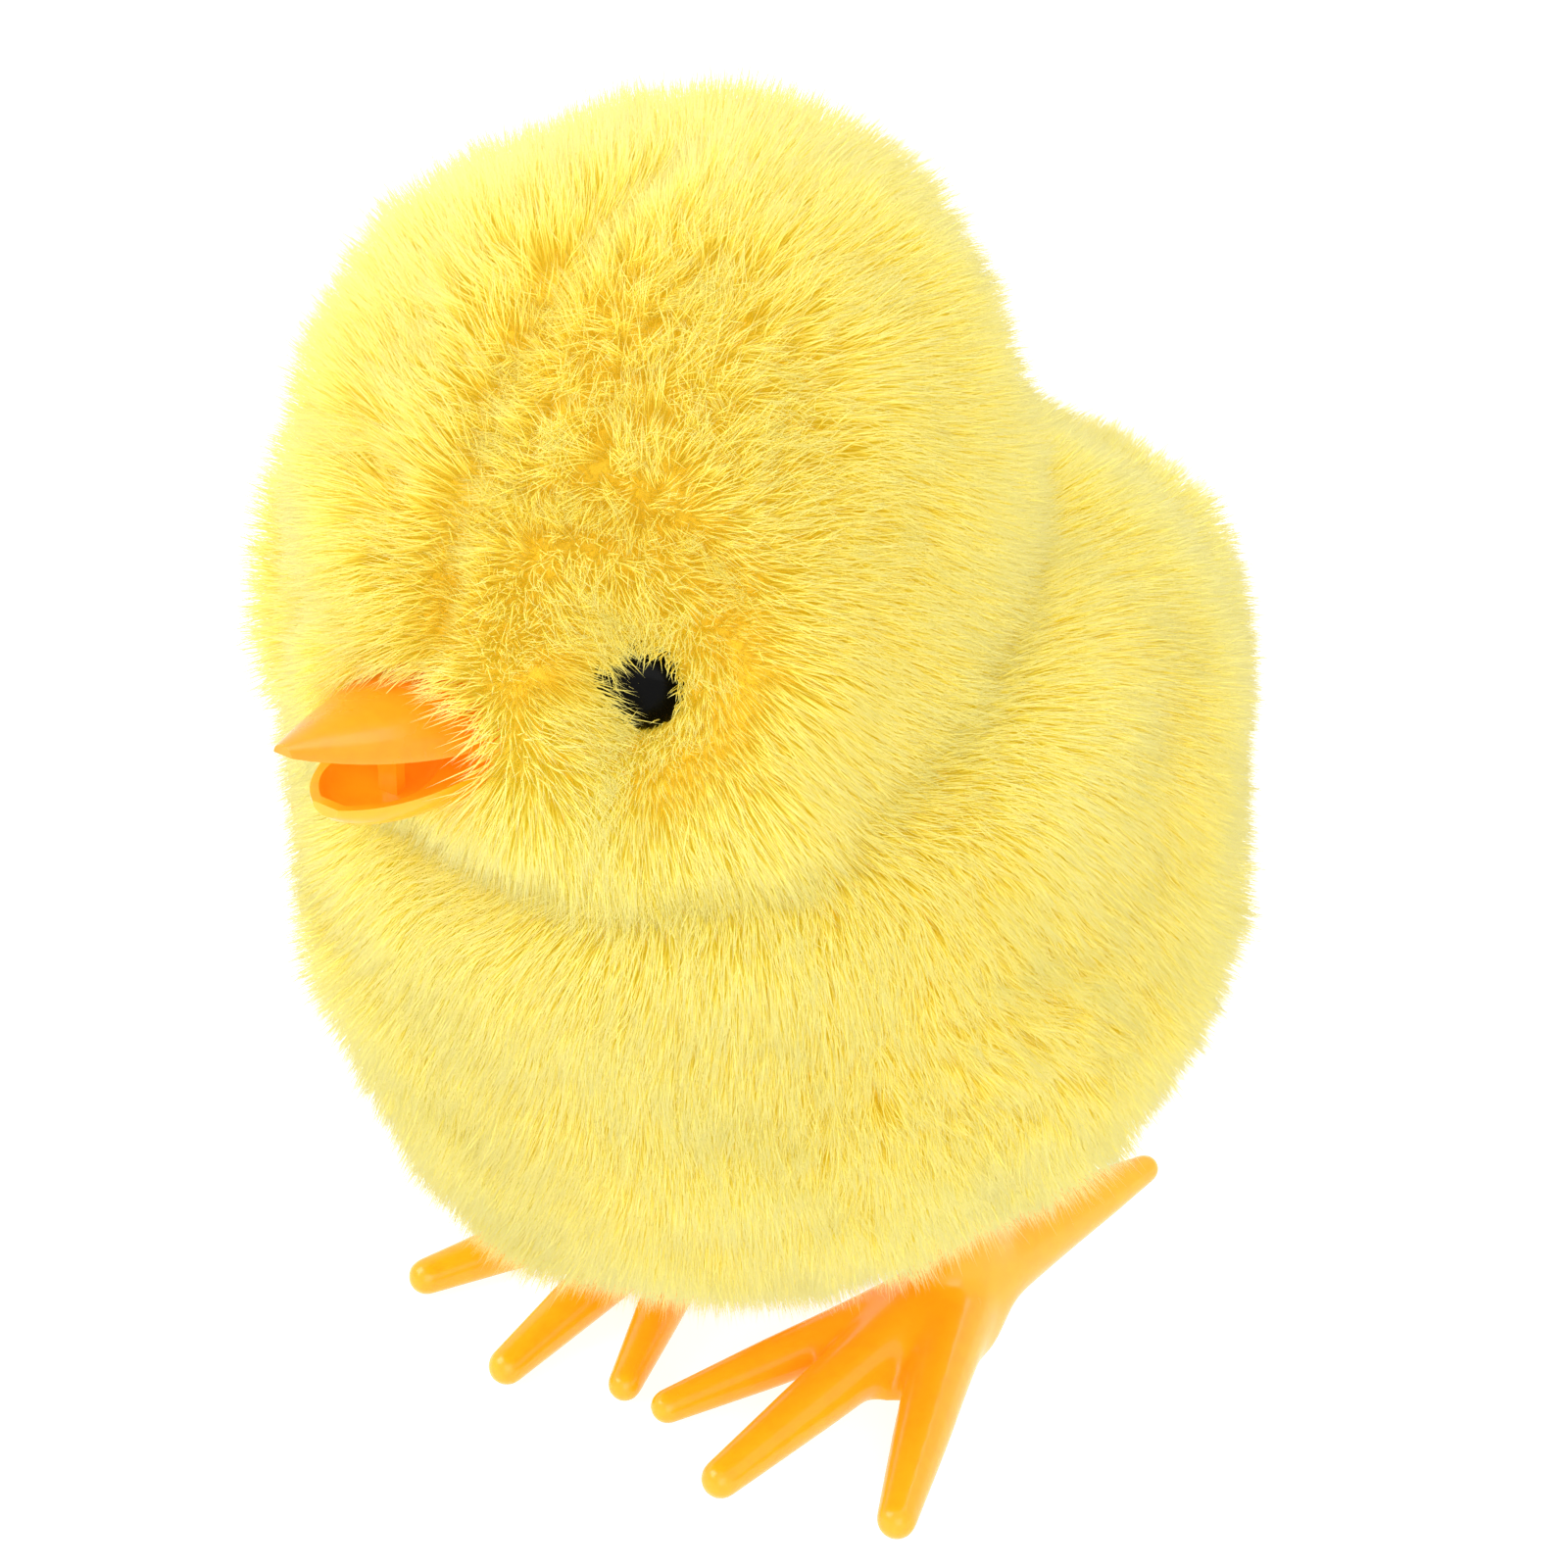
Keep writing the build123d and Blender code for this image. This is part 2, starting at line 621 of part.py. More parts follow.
with BuildPart() as pallet:
    with BuildSketch(axis_plane(ESCAPE_X[0])):
        with Locations(PALLET):
            Circle(1.5)
        for turn in (104 + 44, 104 - 44):
            tip = polar(ESCAPE, ESCAPE_TIP + 1.1, turn)
            knee = polar(ESCAPE, ESCAPE_TIP + 2.4, turn)
            with BuildLine():
                Polyline(PALLET, knee, tip, polar(tip, 0.9, turn + 90), close=True)
            make_face()
            with BuildLine():
                Polyline(PALLET, knee, tip, polar(tip, 0.9, turn - 90), close=True)
            make_face()
        with Locations(PALLET):
            Circle(ARBOR_RADIUS, mode=Mode.SUBTRACT)
    extrude(amount=ESCAPE_X[1] - ESCAPE_X[0])


def arbor(place, end=CASE_HALF - 0.1):
    """A steel pin that turns in the walls of the case."""
    with BuildPart() as pin:
        add(shaft(place, ARBOR_RADIUS, -CASE_HALF + 0.1, end))
    return pin


second_arbor = arbor(SECOND)
# The crank is overhung: its arbor ends at the crank's face, clear of the rocker arm, in a long sleeve.
crank_arbor = arbor(CRANK, CRANK_X[1])
escape_arbor = arbor(ESCAPE)
pallet_arbor = arbor(PALLET)

# ----------------------------------------------------------------- winding side
KEY_HUB_X = (-36.4, -33.5)
KEY_WING_X = (-39.9, -34.7)
KEY_TURN = 40.0                  # the wings' lean below level, towards the front
KEY_REACH = 7.3
COLLAR_FLANGE_X = (-33.2, -32.5)
with BuildPart() as winding_arbor:
    add(shaft(MAIN, KEY_ARBOR_RADIUS, KEY_HUB_X[0], CASE_HALF - 0.1))

with BuildPart() as winding_key:
    add(shaft(MAIN, 2.7, *KEY_HUB_X))
    lean = radians(KEY_TURN)
    key_plane = Plane(
        origin=(KEY_WING_X[0], *MAIN), x_dir=(0, cos(lean), sin(lean)), z_dir=(0, -sin(lean), cos(lean))
    )
    depth = KEY_WING_X[1] - KEY_WING_X[0]
    with BuildSketch(key_plane):
        for wing in (-1, 1):
            with Locations((wing * (KEY_REACH - depth / 2), -depth / 2)):
                Circle(depth / 2)
        with Locations((0, -depth / 2 - 0.5)):
            Rectangle(2 * KEY_REACH - depth, depth - 2.4)
    extrude(amount=1.3, both=True)
    fillet(winding_key.faces().filter_by(key_plane).edges().filter_by(GeomType.CIRCLE), 0.5)
    add(shaft(MAIN, KEY_ARBOR_RADIUS, KEY_HUB_X[0], 0), mode=Mode.SUBTRACT)

with BuildPart() as key_collar:
    add(shaft(MAIN, 2.35, COLLAR_FLANGE_X[1], -22.4))
    add(shaft(MAIN, 3.8, *COLLAR_FLANGE_X))
    add(shaft(MAIN, KEY_ARBOR_RADIUS + 0.3, -40, 0), mode=Mode.SUBTRACT)

# ------------------------------------------------------------------ legs and feet
TOES = {                         # tip x, tip y, root radius, tip radius, how far the tip is lifted
    "outer": (21.9, -19.0, 3.2, 1.35, 0.0),
    "middle": (9.6, -23.2, 3.2, 1.35, 0.0),
    "inner": (1.5, -19.2, 2.8, 1.2, 0.0),
    "rear": (15.0, 25.4, 3.9, 1.1, 2.6),
}
SHANK = [                        # z, x, y, half size along x, half size along y
    (1.2, 11.6, 4.6, 3.7, 4.8),
    (7.0, 11.4, 4.2, 2.9, 4.2),
    (13.0, 11.0, 2.6, 1.5, 3.5),
    (24.0, 11.0, 0.4, 1.4, 3.0),
]
PAD_MID = (12.0, -0.3)
PAD_HALF = (4.2, 7.6)
PAD_HEIGHT = 1.6


def toe(tip_x, tip_y, root_radius, tip_radius, lift):
    """A round tapering toe from the middle of the foot to its tip, lying on the ground."""
    root = Vector(*FOOT_MID, root_radius - 0.35)
    reach = Vector(tip_x, tip_y, tip_radius - 0.2 + lift) - root
    length = reach.length - tip_radius
    slope = asin((root_radius - tip_radius) / length)
    side = (root_radius * sin(slope), root_radius * cos(slope))
    end = (length + tip_radius * sin(slope), tip_radius * cos(slope))
    with BuildPart() as finger:
        plane = Plane(origin=root, x_dir=reach.normalized(), z_dir=(-reach.Y, reach.X, 0))
        with BuildSketch(plane):
            with BuildLine():
                Line((-root_radius, 0), (length + tip_radius, 0))
                ThreePointArc(
                    (length + tip_radius, 0),
                    (length + tip_radius * sin((slope + pi / 2) / 2), tip_radius * cos((slope + pi / 2) / 2)),
                    end,
                )
                Line(end, side)
                ThreePointArc(
                    side,
                    (root_radius * sin((slope - pi / 2) / 2), root_radius * cos((slope - pi / 2) / 2)),
                    (-root_radius, 0),
                )
            make_face()
        revolve(axis=Axis(root, reach))
    return finger.part


with BuildPart() as left_leg:
    for z, x, y, half_x, half_y in SHANK:
        with BuildSketch(Plane.XY.offset(z)):
            with Locations((x, y)):
                Ellipse(half_x, half_y)
    loft()
    with BuildSketch(Plane.XY):
        with Locations(PAD_MID):
            Ellipse(*PAD_HALF)
    extrude(amount=PAD_HEIGHT)
    for size in TOES.values():
        add(toe(*size))
    add(shaft(HIP, 3.2, LEG_IN, LEG_OUT))
    split(bisect_by=Plane.XY, keep=Keep.TOP)
    add(shaft(HIP, HIP_RADIUS, LEG_IN - 1, LEG_OUT - 0.8), mode=Mode.SUBTRACT)
    add(shaft(HIP, 0.6, LEG_IN, LEG_OUT), mode=Mode.SUBTRACT)

with BuildPart() as right_leg:
    add(left_leg.part)
    mirror(about=Plane.YZ, mode=Mode.REPLACE)

with BuildPart() as hip_axle:
    add(shaft(HIP, HIP_RADIUS, -LEG_OUT + 0.8, LEG_OUT - 0.8))
    for low, high in ((-LEG_OUT, -LEG_OUT + 4), (LEG_OUT - 4, LEG_OUT)):
        add(shaft(HIP, 0.55, low, high), mode=Mode.SUBTRACT)

with BuildPart() as leg_screws:
    for side in (-1, 1):
        add(screw(Plane(origin=(side * LEG_OUT, *HIP), z_dir=(side, 0, 0)), 3.6, 0.55, 1.6, 0.9))

SLOT_HALF = CRANK_THROW + 1.2
with BuildPart() as rocker_arm:
    with BuildSketch(axis_plane(ROCKER_X[0])):
        add(hull_face([(HIP, 2.2), (polar(HIP, ROCKER_LENGTH - SLOT_HALF, ROCKER_TILT), 1.9)]))
        add(hull_face([
            (polar(HIP, ROCKER_LENGTH - SLOT_HALF, ROCKER_TILT), 1.9),
            (polar(HIP, ROCKER_LENGTH + SLOT_HALF - 0.6, ROCKER_TILT), 1.7),
        ]))
        add(
            hull_face([
                (polar(HIP, ROCKER_LENGTH - CRANK_THROW - 0.2, ROCKER_TILT), 0.9),
                (polar(HIP, ROCKER_LENGTH + CRANK_THROW + 0.2, ROCKER_TILT), 0.9),
            ]),
            mode=Mode.SUBTRACT,
        )
        with Locations(HIP):
            Circle(HIP_RADIUS, mode=Mode.SUBTRACT)
    extrude(amount=ROCKER_X[1] - ROCKER_X[0])

# ------------------------------------------------------------------------ output
plush_cover.part.label = "plush_cover"
export_step(plush_cover.part, "parts/plush_cover.step")
body_shell_left.part.label = "body_shell_left"
export_step(body_shell_left.part, "parts/body_shell_left.step")
body_shell_right.part.label = "body_shell_right"
export_step(body_shell_right.part, "parts/body_shell_right.step")
shell_screws.part.label = "shell_screws"
export_step(shell_screws.part, "parts/shell_screws.step")
base_plate.part.label = "base_plate"
export_step(base_plate.part, "parts/base_plate.step")
base_screws.part.label = "base_screws"
export_step(base_screws.part, "parts/base_screws.step")
beak_upper.part.label = "beak_upper"
export_step(beak_upper.part, "parts/beak_upper.step")
beak_lower.part.label = "beak_lower"
export_step(beak_lower.part, "parts/beak_lower.step")
left_eye.part.label = "left_eye"
export_step(left_eye.part, "parts/left_eye.step")
right_eye.part.label = "right_eye"
export_step(right_eye.part, "parts/right_eye.step")
eye_washers.part.label = "eye_washers"
export_step(eye_washers.part, "parts/eye_washers.step")
case_left.part.label = "case_left"
export_step(case_left.part, "parts/case_left.step")
case_right.part.label = "case_right"
export_step(case_right.part, "parts/case_right.step")
case_screws.part.label = "case_screws"
export_step(case_screws.part, "parts/case_screws.step")
motor_screws.part.label = "motor_screws"
export_step(motor_screws.part, "parts/motor_screws.step")
main_wheel.part.label = "main_wheel"
export_step(main_wheel.part, "parts/main_wheel.step")
ratchet_wheel.part.label = "ratchet_wheel"
export_step(ratchet_wheel.part, "parts/ratchet_wheel.step")
click.part.label = "click"
export_step(click.part, "parts/click.step")
click_pin.part.label = "click_pin"
export_step(click_pin.part, "parts/click_pin.step")
click_spring.part.label = "click_spring"
export_step(click_spring.part, "parts/click_spring.step")
mainspring.part.label = "mainspring"
export_step(mainspring.part, "parts/mainspring.step")
second_wheel.part.label = "second_wheel"
export_step(second_wheel.part, "parts/second_wheel.step")
second_arbor.part.label = "second_arbor"
export_step(second_arbor.part, "parts/second_arbor.step")
crank_wheel.part.label = "crank_wheel"
export_step(crank_wheel.part, "parts/crank_wheel.step")
crank_arbor.part.label = "crank_arbor"
export_step(crank_arbor.part, "parts/crank_arbor.step")
crank_pin.part.label = "crank_pin"
export_step(crank_pin.part, "parts/crank_pin.step")
escape_wheel.part.label = "escape_wheel"
export_step(escape_wheel.part, "parts/escape_wheel.step")
escape_arbor.part.label = "escape_arbor"
export_step(escape_arbor.part, "parts/escape_arbor.step")
pallet.part.label = "pallet"
export_step(pallet.part, "parts/pallet.step")
pallet_arbor.part.label = "pallet_arbor"
export_step(pallet_arbor.part, "parts/pallet_arbor.step")
winding_arbor.part.label = "winding_arbor"
export_step(winding_arbor.part, "parts/winding_arbor.step")
winding_key.part.label = "winding_key"
export_step(winding_key.part, "parts/winding_key.step")
key_collar.part.label = "key_collar"
export_step(key_collar.part, "parts/key_collar.step")
left_leg.part.label = "left_leg"
export_step(left_leg.part, "parts/left_leg.step")
right_leg.part.label = "right_leg"
export_step(right_leg.part, "parts/right_leg.step")
leg_screws.part.label = "leg_screws"
export_step(leg_screws.part, "parts/leg_screws.step")
hip_axle.part.label = "hip_axle"
export_step(hip_axle.part, "parts/hip_axle.step")
rocker_arm.part.label = "rocker_arm"
export_step(rocker_arm.part, "parts/rocker_arm.step")
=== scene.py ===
import json
import math

import bmesh
import bpy
import numpy as np
from mathutils import Matrix, Vector, kdtree


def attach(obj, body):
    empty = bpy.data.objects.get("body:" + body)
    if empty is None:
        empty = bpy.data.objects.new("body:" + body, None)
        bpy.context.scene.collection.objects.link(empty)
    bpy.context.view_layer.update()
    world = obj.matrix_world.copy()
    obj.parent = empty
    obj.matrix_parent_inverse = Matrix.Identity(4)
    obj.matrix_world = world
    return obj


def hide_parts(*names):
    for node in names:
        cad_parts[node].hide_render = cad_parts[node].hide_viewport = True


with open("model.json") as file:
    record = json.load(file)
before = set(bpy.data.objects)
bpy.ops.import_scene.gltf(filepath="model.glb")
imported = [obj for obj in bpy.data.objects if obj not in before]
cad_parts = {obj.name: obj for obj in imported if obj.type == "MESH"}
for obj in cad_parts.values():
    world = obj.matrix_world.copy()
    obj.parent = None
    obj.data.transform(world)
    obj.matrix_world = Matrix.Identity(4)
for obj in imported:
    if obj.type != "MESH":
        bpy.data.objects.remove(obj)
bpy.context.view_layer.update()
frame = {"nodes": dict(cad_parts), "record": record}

MM = 0.001
SEED = 20
STRANDS = 300000
STRAND_WIDTH = 0.095
VOXEL = 0.9                      # mm, of the backing's mesh
FOOT_VOXEL = 0.27                # mm, of the feet's mesh
BANDS = ("lower", "middle", "upper")
SECTORS = 6                      # pieces that each band of the pile is divided into, round the toy

scene = bpy.context.scene
nodes = frame["nodes"]

# ---------------------------------------------------------------- the forms under the pile, in mm
PILE = 4.6
HEAD_MID = np.array([0.0, -15.5, 66.0])
HEAD_SEMI = np.array([24.2, 23.6, 25.9])
HEAD_TILT = -5.0
BODY_MID = np.array([0.0, -3.0, 42.6])
BODY_SEMI = np.array([32.2, 34.2, 33.2])
BODY_TILT = 40.0
EYE_LEFT = np.array([10.7, -30.2, 64.4])
BEAK_BASE = np.array([0.0, -37.0, 61.2])
KEY_MOUTH = np.array([-32.5, -6.0, 35.5])
# creases in the face: the way each runs over the skin, its strength, its width, and whether
# both sides have one
CREASES = [
    ([(1.6, -35.5, 66.5), (2.0, -34.2, 71.0), (2.2, -32.0, 76.0), (2.2, -29.0, 81.0), (2.2, -24.0, 85.0),
      (1.5, -15.0, 88.0)], 1.0, 1.5, False),
    ([(2.2, -33.6, 73.0), (8.2, -32.0, 74.2), (12.4, -30.0, 73.4), (14.8, -28.6, 70.6),
      (16.2, -28.4, 66.0), (15.4, -29.6, 61.5), (12.8, -31.2, 58.8)], 0.8, 1.3, True),
    ([(5.6, -34.9, 64.2), (7.0, -34.3, 65.6), (8.8, -32.8, 65.8)], 0.8, 0.9, True),
]
CREASE_PULL = 2.0                # how far a crease and the neck draw the skin in
NECK_PULL = 1.2
DEEPEST = 2.2                    # no dip in the skin is deeper than this
EYE_BARE = 2.35                  # radius without pile round an eye
BEAK_BARE = (5.3, 3.6)           # half width and half height without pile round the beak
KEY_BARE = 4.2                   # radius without pile round the key's collar
LEG_MOUTH_MID = np.array([0.0, 2.5, 9.0])
LEG_MOUTH_HALF = np.array([15.7, 10.5])
BASE_FACE = 20.3                 # height of the skin inside the leg mouth
SLOT_MID = np.array([11.0, 1.0])
SLOT_HALF = np.array([2.0, 5.8])
SLOT_TOP = 27.0


def smooth_step(low, high, x):
    """0 up to low, 1 from high on, and a smooth rise between them; falls if high is below low."""
    t = np.clip((x - low) / (high - low), 0, 1)
    return t * t * (3 - 2 * t)


def unit(v):
    """Vectors of length 1 along the last axis."""
    return v / np.maximum(np.linalg.norm(v, axis=-1, keepdims=True), 1e-9)


def bump_at(p, centre, radius):
    """1 at the centre, falling smoothly to 0 about two radii away."""
    d = np.linalg.norm(p - centre, axis=1) / radius
    return np.exp(-d * d)


def waves(p, size, seed, channels=1, count=14):
    """Smooth noise from -1 to 1 with features of about that size in mm."""
    rng = np.random.default_rng(seed)
    out = []
    for _ in range(channels):
        k = unit(rng.normal(size=(count, 3))) * (2 * np.pi / size) * rng.uniform(0.6, 1.5, (count, 1))
        phase = rng.uniform(0, 2 * np.pi, count)
        out.append(np.sin(p @ k.T + phase).sum(1) / math.sqrt(count / 2))
    return np.clip(np.stack(out, 1) * 0.6, -1.5, 1.5)


def mesh_object(name, mesh):
    """A mesh as an object of the scene."""
    ob = bpy.data.objects.new(name, mesh)
    scene.collection.objects.link(ob)
    return ob


def applied(ob):
    """Applies the object's modifiers to its mesh."""
    dg = bpy.context.evaluated_depsgraph_get()
    mesh = bpy.data.meshes.new_from_object(ob.evaluated_get(dg), depsgraph=dg)
    old = ob.data
    ob.modifiers.clear()
    ob.data = mesh
    bpy.data.meshes.remove(old)


def coords(mesh):
    """The mesh's points in mm."""
    co = np.empty(len(mesh.vertices) * 3, np.float32)
    mesh.vertices.foreach_get("co", co)
    return co.reshape(-1, 3).astype(float) / MM


def set_coords(mesh, co):
    """Moves the mesh's points to these places in mm."""
    mesh.vertices.foreach_set("co", (np.asarray(co, np.float32) * MM).ravel())
    mesh.update()


# ---------------------------------------------------------------- materials
PLASTIC_GRAIN = 900
METAL_GRAIN = 1400


def material(name):
    """A new material, its node tree and its one shader."""
    m = bpy.data.materials.new(name)
    m.use_nodes = True
    nt = m.node_tree
    nt.nodes.clear()
    out = nt.nodes.new("ShaderNodeOutputMaterial")
    p = nt.nodes.new("ShaderNodeBsdfPrincipled")
    nt.links.new(p.outputs[0], out.inputs[0])
    return m, nt, p


def noise_node(nt, scale, detail=4, rough=0.55, vector=None):
    """Noise over the object, or over another vector."""
    n = nt.nodes.new("ShaderNodeTexNoise")
    n.inputs["Scale"].default_value = scale
    n.inputs["Detail"].default_value = detail
    n.inputs["Roughness"].default_value = rough
    if vector is None:
        c = nt.nodes.new("ShaderNodeTexCoord")
        vector = c.outputs["Object"]
    nt.links.new(vector, n.inputs["Vector"])
    return n.outputs["Fac"]


def ramp(nt, fac, stops):
    """Colours along a value, from stops of place and colour."""
    r = nt.nodes.new("ShaderNodeValToRGB")
    nt.links.new(fac, r.inputs[0])
    el = r.color_ramp.elements
    while len(el) < len(stops):
        el.new(0.5)
    for e, (at, colour) in zip(el, stops):
        e.position = at
        e.color = (*colour, 1)
    return r.outputs[0]


def mix(nt, fac, a, b, kind="MIX"):
    """Two colours mixed, where each value is a socket or a plain number."""
    m = nt.nodes.new("ShaderNodeMix")
    m.data_type = "RGBA"
    m.blend_type = kind
    for socket, value in ((m.inputs[0], fac), (m.inputs[6], a), (m.inputs[7], b)):
        if hasattr(value, "is_output"):
            nt.links.new(value, socket)
        else:
            socket.default_value = value
    return m.outputs[2]


def bump(nt, p, height, strength, distance):
    """Small relief in the surface."""
    b = nt.nodes.new("ShaderNodeBump")
    b.inputs["Strength"].default_value = strength
    b.inputs["Distance"].default_value = distance
    nt.links.new(height, b.inputs["Height"])
    nt.links.new(b.outputs[0], p.inputs["Normal"])


def spread(nt, fac, low, high):
    """A value from 0 to 1 spread between two limits."""
    m = nt.nodes.new("ShaderNodeMapRange")
    m.inputs["To Min"].default_value = low
    m.inputs["To Max"].default_value = high
    nt.links.new(fac, m.inputs["Value"])
    return m.outputs[0]


def plastic(name, dark, mid, light, rough, subsurface=0.0, radius=(1, 0.3, 0.1), coat=0.0):
    """Moulded plastic with slightly uneven colour and a fine grain."""
    m, nt, p = material(name)
    broad = noise_node(nt, 90, 3)
    fine = noise_node(nt, PLASTIC_GRAIN, 5, 0.6)
    base = ramp(nt, broad, [(0.3, dark), (0.5, mid), (0.72, light)])
    speck = ramp(nt, fine, [(0.35, (0.93, 0.93, 0.93)), (0.6, (1, 1, 1))])
    nt.links.new(mix(nt, 1.0, base, speck, "MULTIPLY"), p.inputs["Base Color"])
    worn = noise_node(nt, PLASTIC_GRAIN * 0.35, 4)
    nt.links.new(spread(nt, worn, rough - 0.06, rough + 0.1), p.inputs["Roughness"])
    bump(nt, p, fine, 0.12, 0.00006)
    p.inputs["Subsurface Weight"].default_value = subsurface
    p.inputs["Subsurface Radius"].default_value = radius
    p.inputs["Subsurface Scale"].default_value = 0.0015
    p.inputs["Coat Weight"].default_value = coat
    return m


def shader(m):
    return m.node_tree.nodes["Principled BSDF"]


def paint_glow(p, colour, strength):
    """A painted glow of the material's own colour: an emission that stands in for the light a thin tinted
    material passes on.
    """
    p.inputs["Emission Color"].default_value = (*colour, 1)
    p.inputs["Emission Strength"].default_value = strength


def metal(name, dark, light, rough):
    """Metal with a fine grain."""
    m, nt, p = material(name)
    fine = noise_node(nt, METAL_GRAIN, 5, 0.6)
    broad = noise_node(nt, 160, 3)
    base = ramp(nt, broad, [(0.3, dark), (0.7, light)])
    nt.links.new(base, p.inputs["Base Color"])
    nt.links.new(spread(nt, fine, rough - 0.08, rough + 0.15), p.inputs["Roughness"])
    p.inputs["Metallic"].default_value = 1.0
    bump(nt, p, fine, 0.15, 0.00003)
    return m


def pile_material():
    """Each strand has its own place in the colour chart: across for its tone, up from root to tip."""
    m, nt, p = material("yellow_pile")
    uv = nt.nodes.new("ShaderNodeUVMap")
    uv.uv_map = "OFBake"
    split = nt.nodes.new("ShaderNodeSeparateXYZ")
    nt.links.new(uv.outputs[0], split.inputs[0])
    tone, along = split.outputs[0], split.outputs[1]
    pale = [(0.0, (0.94, 0.84, 0.13)), (0.45, (0.96, 0.875, 0.24)), (1.0, (0.96, 0.885, 0.38))]
    gold = [(0.0, (0.95, 0.69, 0.05)), (0.5, (0.97, 0.78, 0.11)), (1.0, (0.97, 0.83, 0.21))]
    base = mix(nt, tone, ramp(nt, along, pale), ramp(nt, along, gold))
    streak = noise_node(nt, 60, 2, 0.5, uv.outputs[0])
    streaks = ramp(nt, streak, [(0.3, (0.90, 0.88, 0.82)), (0.65, (1, 1, 1))])
    nt.links.new(mix(nt, 0.7, base, streaks, "MULTIPLY"), p.inputs["Base Color"])
    p.inputs["Roughness"].default_value = 0.55
    p.inputs["Specular IOR Level"].default_value = 0.25
    p.inputs["Sheen Weight"].default_value = 0.15
    p.inputs["Sheen Tint"].default_value = (1.0, 0.95, 0.7, 1)
    # Painted glow, strongest at the root, that lifts the shade deep in the pile. It stands in for the light
    # that passes on through the thin fibres, which a solid strand would stop.
    glow = [(0.0, (0.22, 0.18, 0.006)), (0.5, (0.15, 0.125, 0.006)), (1.0, (0.06, 0.051, 0.004))]
    nt.links.new(ramp(nt, along, glow), p.inputs["Emission Color"])
    p.inputs["Emission Strength"].default_value = 1.0
    return m


def backing_material():
    """The backing that shows between the strands."""
    m, nt, p = material("pile_backing")
    fine = noise_node(nt, 1600, 5, 0.7)
    broad = noise_node(nt, 110, 4)
    base = ramp(nt, broad, [(0.3, (0.90, 0.60, 0.03)), (0.7, (0.95, 0.70, 0.07))])
    weave = ramp(nt, fine, [(0.3, (0.7, 0.66, 0.6)), (0.6, (1, 1, 1))])
    nt.links.new(mix(nt, 1.0, base, weave, "MULTIPLY"), p.inputs["Base Color"])
    p.inputs["Roughness"].default_value = 0.9
    # painted glow that lifts the shade in the backing between the strands
    paint_glow(p, (1.0, 0.76, 0.03), 0.20)
    bump(nt, p, fine, 0.8, 0.0004)
    return m


PILE_MAT = pile_material()
BACKING = backing_material()
ORANGE = plastic("orange_plastic_gloss", (0.98, 0.355, 0.006), (1.0, 0.38, 0.008), (1.0, 0.40, 0.010),
                 0.22, 0.15, (1.0, 0.32, 0.06), coat=0.2)
BEAK_ORANGE = plastic("beak_plastic_gloss", (0.98, 0.285, 0.006), (1.0, 0.305, 0.008), (1.0, 0.33, 0.010),
                      0.26, 0.12, (1.0, 0.32, 0.06), coat=0.10)
for finish in (ORANGE, BEAK_ORANGE):
    shader(finish).inputs["Specular IOR Level"].default_value = 0.35
# painted glow of the orange plastic, standing in for light that passes through it
paint_glow(shader(ORANGE), (1.0, 0.44, 0.01), 0.13)
BLACK = plastic("black_bead_gloss", (0.001, 0.001, 0.001), (0.0015, 0.0015, 0.0015),
                (0.002, 0.002, 0.002), 0.16)
shader(BLACK).inputs["Specular IOR Level"].default_value = 0.06
SHELL = plastic("white_shell_plastic", (0.70, 0.68, 0.62), (0.78, 0.76, 0.70), (0.84, 0.82, 0.77), 0.42)
CASE = plastic("grey_motor_plastic", (0.10, 0.10, 0.105), (0.14, 0.14, 0.145), (0.19, 0.19, 0.2), 0.45)
GEAR = plastic("natural_nylon", (0.66, 0.64, 0.56), (0.74, 0.72, 0.64), (0.80, 0.78, 0.71), 0.38)
STEEL = metal("drawn_steel", (0.42, 0.42, 0.43), (0.58, 0.58, 0.60), 0.28)
SPRING = metal("blued_spring_steel", (0.12, 0.13, 0.17), (0.24, 0.25, 0.30), 0.32)
ZINC = metal("zinc_plated_steel", (0.50, 0.51, 0.52), (0.68, 0.70, 0.72), 0.34)
FINISH = {
    "yellow_plush": BACKING,
    "shell_plastic": SHELL,
    "orange_plastic": ORANGE,
    "black_bead": BLACK,
    "motor_plastic": CASE,
    "gear_plastic": GEAR,
    "steel": STEEL,
    "spring_steel": SPRING,
    "zinc_screw": ZINC,
}
for entry in frame["record"]["subparts"]:
    ob = nodes[entry["node"]]
    if not ob.material_slots:
        ob.data.materials.append(None)
    for s in ob.material_slots:
        s.material = BEAK_ORANGE if entry["node"] == "beak_upper" else FINISH[entry["material_slot"]]


# ---------------------------------------------------------------- the plush skin
def egg(mid, semi, tilt, shrink):
    """An egg shape with its half sizes cut down, tilted about its side-to-side axis."""
    bm = bmesh.new()
    bmesh.ops.create_icosphere(bm, subdivisions=5, radius=1.0)
    m = (Matrix.Translation(Vector(mid)) @ Matrix.Rotation(math.radians(tilt), 4, "X")
         @ Matrix.Diagonal((*(np.asarray(semi) - shrink), 1)))
    bmesh.ops.transform(bm, matrix=m, verts=bm.verts)
    return bm


